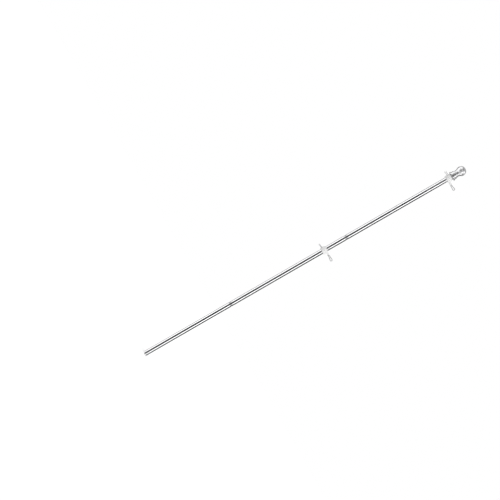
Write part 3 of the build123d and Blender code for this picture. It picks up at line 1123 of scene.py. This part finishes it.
# What polished metal sees of the studio, as (degrees, brightness). 0 degrees is straight in front of
# the pole and more is to its right. Near the horizon a black flag stands in front, one on each side,
# and white panels between them and behind. Above that, in the band that the finial's collar mirrors,
# the front is grey with a narrow black strip and the flags at the sides are grey. Higher up and lower
# down the flag in front is grey, and those at the sides are black.
mirrorLights = {
    "level": [(-180, 1.1), (-166, 1.1), (-159, 0.03), (-109, 0.03), (-101, 1.8), (-62, 1.8),
              (-53, 0.02), (25, 0.02), (31, 2.5), (54, 2.5), (60, 0.01), (160, 0.01), (167, 1.1),
              (180, 1.1)],
    "collar": [(-180, 0.8), (-170, 0.8), (-160, 0.45), (-114, 0.45), (-104, 0.95), (-58, 0.95),
               (-44, 0.78), (-10, 0.66), (-5, 0.06), (7, 0.06), (15, 0.7), (60, 0.8), (100, 0.9),
               (114, 0.25), (160, 0.25), (170, 0.8), (180, 0.8)],
    "steep": [(-180, 0.8), (-172, 0.8), (-160, 0.04), (-132, 0.04), (-116, 1.5), (-58, 1.5),
              (-40, 0.56), (-8, 0.46), (6, 0.28), (36, 0.28), (54, 1.5), (98, 1.5), (112, 0.03),
              (160, 0.03), (172, 0.8), (180, 0.8)],
}
mirrorBands = {                # sines of the elevations between which one band turns into the next
    "levelFoot": (-0.30, -0.40),
    "levelTop": (0.189, 0.195),
    "collarTop": (0.32, 0.42),
    "zenith": (0.74, 0.88),
}
zenithGrey = 0.22
overheadFlag = {
    "direction": (0.10, -0.61, 0.786),
    "outer": 0.80,             # cosine of the angle from its middle at which it starts
    "inner": 0.95,             # and at which it's full
    "grey": 0.03,
}


# The camera sees white, metal sees the panels and flags, and all else is lit by a soft white that is
# a little brighter from the right.
def studioWorld():
    world = bpy.data.worlds.new("studio")
    bpy.context.scene.world = world
    world.use_nodes = True
    world.cycles.sampling_method = "NONE"
    tree = world.node_tree
    tree.nodes.clear()
    direction = addNode(tree, "ShaderNodeTexCoord").outputs["Generated"]
    parts = addNode(tree, "ShaderNodeSeparateXYZ", {0: direction}).outputs
    turn = mathNode(tree, "ARCTAN2", parts["X"], times(tree, parts["Y"], -1.0))
    share = mathNode(tree, "MULTIPLY_ADD", turn, 1 / (2 * math.pi), 0.5)
    seen = {band: greyRamp(tree, share, [(0.5 + degrees / 360, grey) for degrees, grey in lights])
            for band, lights in mirrorLights.items()}
    past = {band: mapRange(tree, parts["Z"], *sines, smooth=True) for band, sines in mirrorBands.items()}
    around = mixColours(tree, past["levelTop"], seen["level"], seen["collar"])
    steep = mathNode(tree, "MAXIMUM", past["collarTop"], past["levelFoot"])
    around = mixColours(tree, steep, around, seen["steep"])
    around = mixColours(tree, past["zenith"], around, (zenithGrey, zenithGrey, zenithGrey, 1))
    flag = overheadFlag
    toFlag = addNode(tree, "ShaderNodeVectorMath", {0: direction, 1: flag["direction"]},
                     operation="DOT_PRODUCT").outputs["Value"]
    overhead = mapRange(tree, toFlag, flag["outer"], flag["inner"], smooth=True)
    mirrored = mixColours(tree, overhead, around, (flag["grey"], flag["grey"], flag["grey"], 1))
    plain = mapRange(tree, parts["X"], -1.0, 1.0, studio["lightFromLeft"], studio["lightFromRight"])
    white = (1, 1, 1, 1)
    soft, glossy, backdrop = (
        addNode(tree, "ShaderNodeBackground", {"Color": colour, "Strength": strength}).outputs[0]
        for colour, strength in ((white, plain), (mirrored, 1.0), (white, 1.0)))
    rays = addNode(tree, "ShaderNodeLightPath").outputs
    lit = mixShaders(tree, rays["Is Glossy Ray"], soft, glossy)
    addNode(tree, "ShaderNodeOutputWorld", {0: mixShaders(tree, rays["Is Camera Ray"], lit, backdrop)})


# The floor takes the pole's shadow, and glows a little for the camera so that it meets the backdrop.
# Seen from below it's clear and lets the studio's light through, so that the butt shows.
def studioFloor():
    half = studio["floorSize"] / 2
    mesh = bpy.data.meshes.new("floor")
    mesh.from_pydata([(-half, -half, 0), (half, -half, 0), (half, half, 0), (-half, half, 0)], [],
                     [(0, 1, 2, 3)])
    material, tree = emptyMaterial("paleFloor")
    paint = addNode(tree, "ShaderNodeBsdfDiffuse", {"Color": studio["floorColour"]})
    seen = addNode(tree, "ShaderNodeLightPath").outputs["Is Camera Ray"]
    glow = addNode(tree, "ShaderNodeEmission", {"Strength": times(tree, seen, studio["floorGlow"])})
    both = addNode(tree, "ShaderNodeAddShader", {0: paint.outputs[0], 1: glow.outputs[0]})
    below = addNode(tree, "ShaderNodeNewGeometry").outputs["Backfacing"]
    clear = addNode(tree, "ShaderNodeBsdfTransparent")
    addNode(tree, "ShaderNodeOutputMaterial", {0: mixShaders(tree, below, both.outputs[0],
                                                             clear.outputs[0])})
    mesh.materials.append(material)
    floor = addObject("floor", mesh)
    floor.visible_glossy = False
    floor.visible_diffuse = False


# A broad soft sun for the diffuse light and the shadow. Metal mirrors the panels and flags alone.
def studioSun():
    lamp = bpy.data.lights.new("key", "SUN")
    lamp.energy = studio["sunStrength"]
    lamp.angle = math.radians(studio["sunAngle"])
    sun = addObject("key", lamp)
    sun.rotation_euler = [math.radians(a) for a in studio["sunTurn"]]
    sun.visible_glossy = False


studioWorld()
studioFloor()
studioSun()

cameraSizes = {
    "place": (-0.1508, -4.3, 0.5793),
    "lens": 76.4,
    "sensor": 36.0,
    "lean": 30.0,              # degrees by which the pole lies over from level in the picture
}


# The camera looks along +Y, rolled so that the pole runs up to the right.
def photoCamera():
    data = bpy.data.cameras.new("camera")
    data.lens = cameraSizes["lens"]
    data.sensor_width = cameraSizes["sensor"]
    camera = addObject("camera", data)
    lean = math.radians(cameraSizes["lean"])
    right = Vector((math.sin(lean), 0, math.cos(lean)))
    up = Vector((-math.cos(lean), 0, math.sin(lean)))
    back = Vector((0, -1, 0))
    turn = Matrix((right, up, back)).transposed().to_4x4()
    camera.matrix_world = Matrix.Translation(cameraSizes["place"]) @ turn
    bpy.context.scene.camera = camera


photoCamera()
bpy.context.scene.view_settings.view_transform = "Standard"
